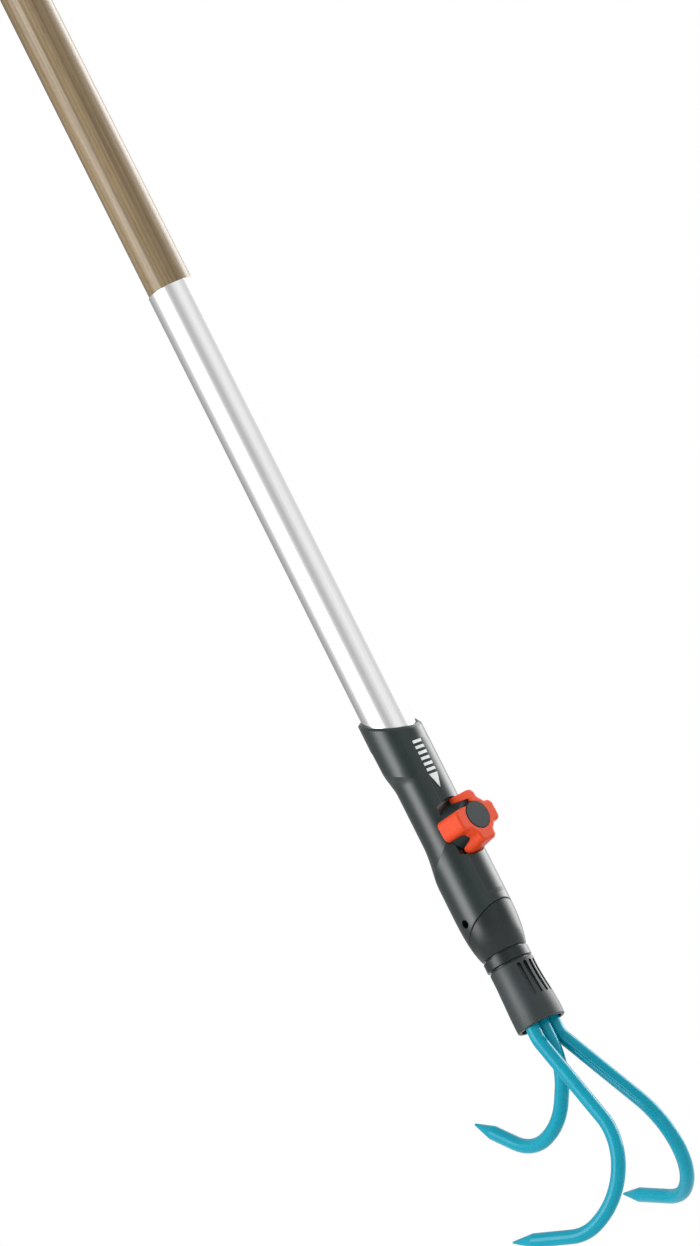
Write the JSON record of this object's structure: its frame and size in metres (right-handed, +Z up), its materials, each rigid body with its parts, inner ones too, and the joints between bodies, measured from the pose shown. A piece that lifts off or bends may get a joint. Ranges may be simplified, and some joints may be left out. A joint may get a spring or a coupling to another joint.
{
  "type": "hand cultivator",
  "caption": "Long-handled cultivator: wooden shaft in a light metal tube, plastic coupling with a lobed clamp knob, and a plug-in head with pointed hooked tines.",
  "frame": {"origin": "centre of the hanging hole in the end cap", "axes": "+Z up the shaft towards the hanging eye, -Y towards the clamp knob, +Y the way the tines hook"},
  "size_m": [0.0928, 0.1115, 1.4749],
  "materials": {
    "varnished_wood": "clear satin varnish",
    "satin_tube": "satin anodised",
    "sleeve_plastic": "fine satin moulding",
    "knob_orange": "semi-gloss moulding",
    "knob_dark": "fine satin moulding",
    "plated_steel": "zinc plated",
    "nut_brass": "turned",
    "pad_plastic": "plain",
    "tine_enamel": "gloss powder coat"
  },
  "bodies": {
    "root": {"end_cap": "sleeve_plastic", "cap_pin": "plated_steel", "wood_shaft": "varnished_wood", "aluminium_tube": "satin_tube", "shaft_rivets": "plated_steel", "coupling_housing": "sleeve_plastic", "sleeve_rivet": "plated_steel", "clamp_nut": "nut_brass"},
    "clamp_slide": {"pressure_pad": "pad_plastic"},
    "knob": {"clamp_screw": "plated_steel", "knob_shell": "knob_orange", "knob_core": "knob_dark", "knob_cap": "knob_dark"},
    "head": {"adapter_plug": "sleeve_plastic", "neck_ring": "sleeve_plastic", "tine_ferrule": "sleeve_plastic", "tine_left": "tine_enamel", "tine_middle": "tine_enamel", "tine_right": "tine_enamel", "tine_pin": "plated_steel"}
  },
  "joints": [
    {"name": "clamp_travel", "type": "slide", "parent": "root", "child": "clamp_slide", "axis": [0, -1, 0], "range_m": [0, 0.00375]},
    {"name": "knob_turn", "type": "hinge", "parent": "clamp_slide", "child": "knob", "pos_m": [0, -0.02, -1.2336], "axis": [0, -1, 0], "range_deg": [0, 1080]},
    {"name": "head_release", "type": "slide", "parent": "root", "child": "head", "axis": [0, 0, -1], "range_m": [0, 0.08]}
  ],
  "couplings": [
    {"joint": "knob_turn", "follows": "clamp_travel", "rad_per_m": 5026.5}
  ]
}
